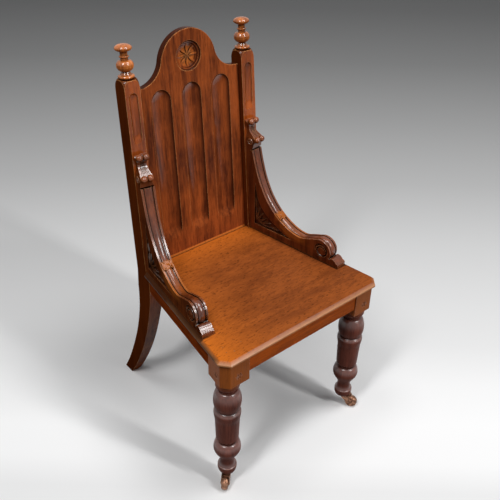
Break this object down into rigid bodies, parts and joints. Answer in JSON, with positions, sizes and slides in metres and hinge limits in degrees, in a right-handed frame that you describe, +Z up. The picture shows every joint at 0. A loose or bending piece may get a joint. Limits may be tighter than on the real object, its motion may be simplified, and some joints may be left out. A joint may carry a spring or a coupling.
{
  "type": "hall chair",
  "caption": "Wooden hall chair: fluted panel back with arched crest and roundel, scroll wings, plain board seat, turned front legs on casters, sabre back legs.",
  "frame": {"origin": "on the floor, in the middle of the chair's overall box", "axes": "+Z up, +X to the viewer's right when the chair is seen from its front, the chair faces -Y"},
  "size_m": [0.508, 0.5638, 1.0176],
  "materials": {
    "seat_oak": "warm orange-brown oak, waxed satin",
    "panel_oak": "reddish brown stained oak, waxed",
    "frame_oak": "dark brown stained oak, polished",
    "rail_oak": "brown stained oak, waxed",
    "leg_oak": "very dark brown stained oak, glossy",
    "wing_oak": "reddish brown stained oak, polished on its mouldings",
    "finial_oak": "light brown oak, polished",
    "deal": "bare softwood",
    "beech": "bare hardwood pegs",
    "screw_steel": "dull grey steel",
    "brass": "tarnished coppery brass"
  },
  "bodies": {
    "chair": {"back_panel": "panel_oak", "back_rail": "rail_oak", "front_rail": "rail_oak", "left_caster_plate": "brass", "left_caster_screw_1": "brass", "left_caster_screw_2": "brass", "left_caster_screw_3": "brass", "left_finial": "finial_oak", "left_front_block_screw": "screw_steel", "left_front_glue_block": "deal", "left_front_leg": "leg_oak", "left_rear_block_screw": "screw_steel", "left_rear_glue_block": "deal", "left_side_rail": "rail_oak", "left_stile": "frame_oak", "left_wing": "wing_oak", "left_wing_front_dowel": "beech", "left_wing_rear_dowel": "beech", "left_wing_stile_dowel": "beech", "right_caster_plate": "brass", "right_caster_screw_1": "brass", "right_caster_screw_2": "brass", "right_caster_screw_3": "brass", "right_finial": "finial_oak", "right_front_block_screw": "screw_steel", "right_front_glue_block": "deal", "right_front_leg": "leg_oak", "right_rear_block_screw": "screw_steel", "right_rear_glue_block": "deal", "right_side_rail": "rail_oak", "right_stile": "frame_oak", "right_wing": "wing_oak", "right_wing_front_dowel": "beech", "right_wing_rear_dowel": "beech", "right_wing_stile_dowel": "beech", "seat_board": "seat_oak"},
    "left_caster": {"left_caster_horn": "brass", "left_caster_axle": "brass"},
    "left_wheel": {"left_caster_wheel": "brass"},
    "right_caster": {"right_caster_horn": "brass", "right_caster_axle": "brass"},
    "right_wheel": {"right_caster_wheel": "brass"}
  },
  "joints": [
    {"name": "left_caster_swivel", "type": "hinge", "parent": "chair", "child": "left_caster", "pos_m": [-0.2113, -0.2397, 0.0393], "axis": [0, 0, 1], "continuous": true},
    {"name": "left_wheel_roll", "type": "hinge", "parent": "left_caster", "child": "left_wheel", "pos_m": [-0.2317, -0.25739, 0.0175], "axis": [0.6551, -0.7556, 0], "continuous": true},
    {"name": "right_caster_swivel", "type": "hinge", "parent": "chair", "child": "right_caster", "pos_m": [0.2113, -0.2397, 0.0393], "axis": [0, 0, 1], "continuous": true},
    {"name": "right_wheel_roll", "type": "hinge", "parent": "right_caster", "child": "right_wheel", "pos_m": [0.22433, -0.26335, 0.0175], "axis": [0.8758, 0.4826, 0], "continuous": true}
  ]
}
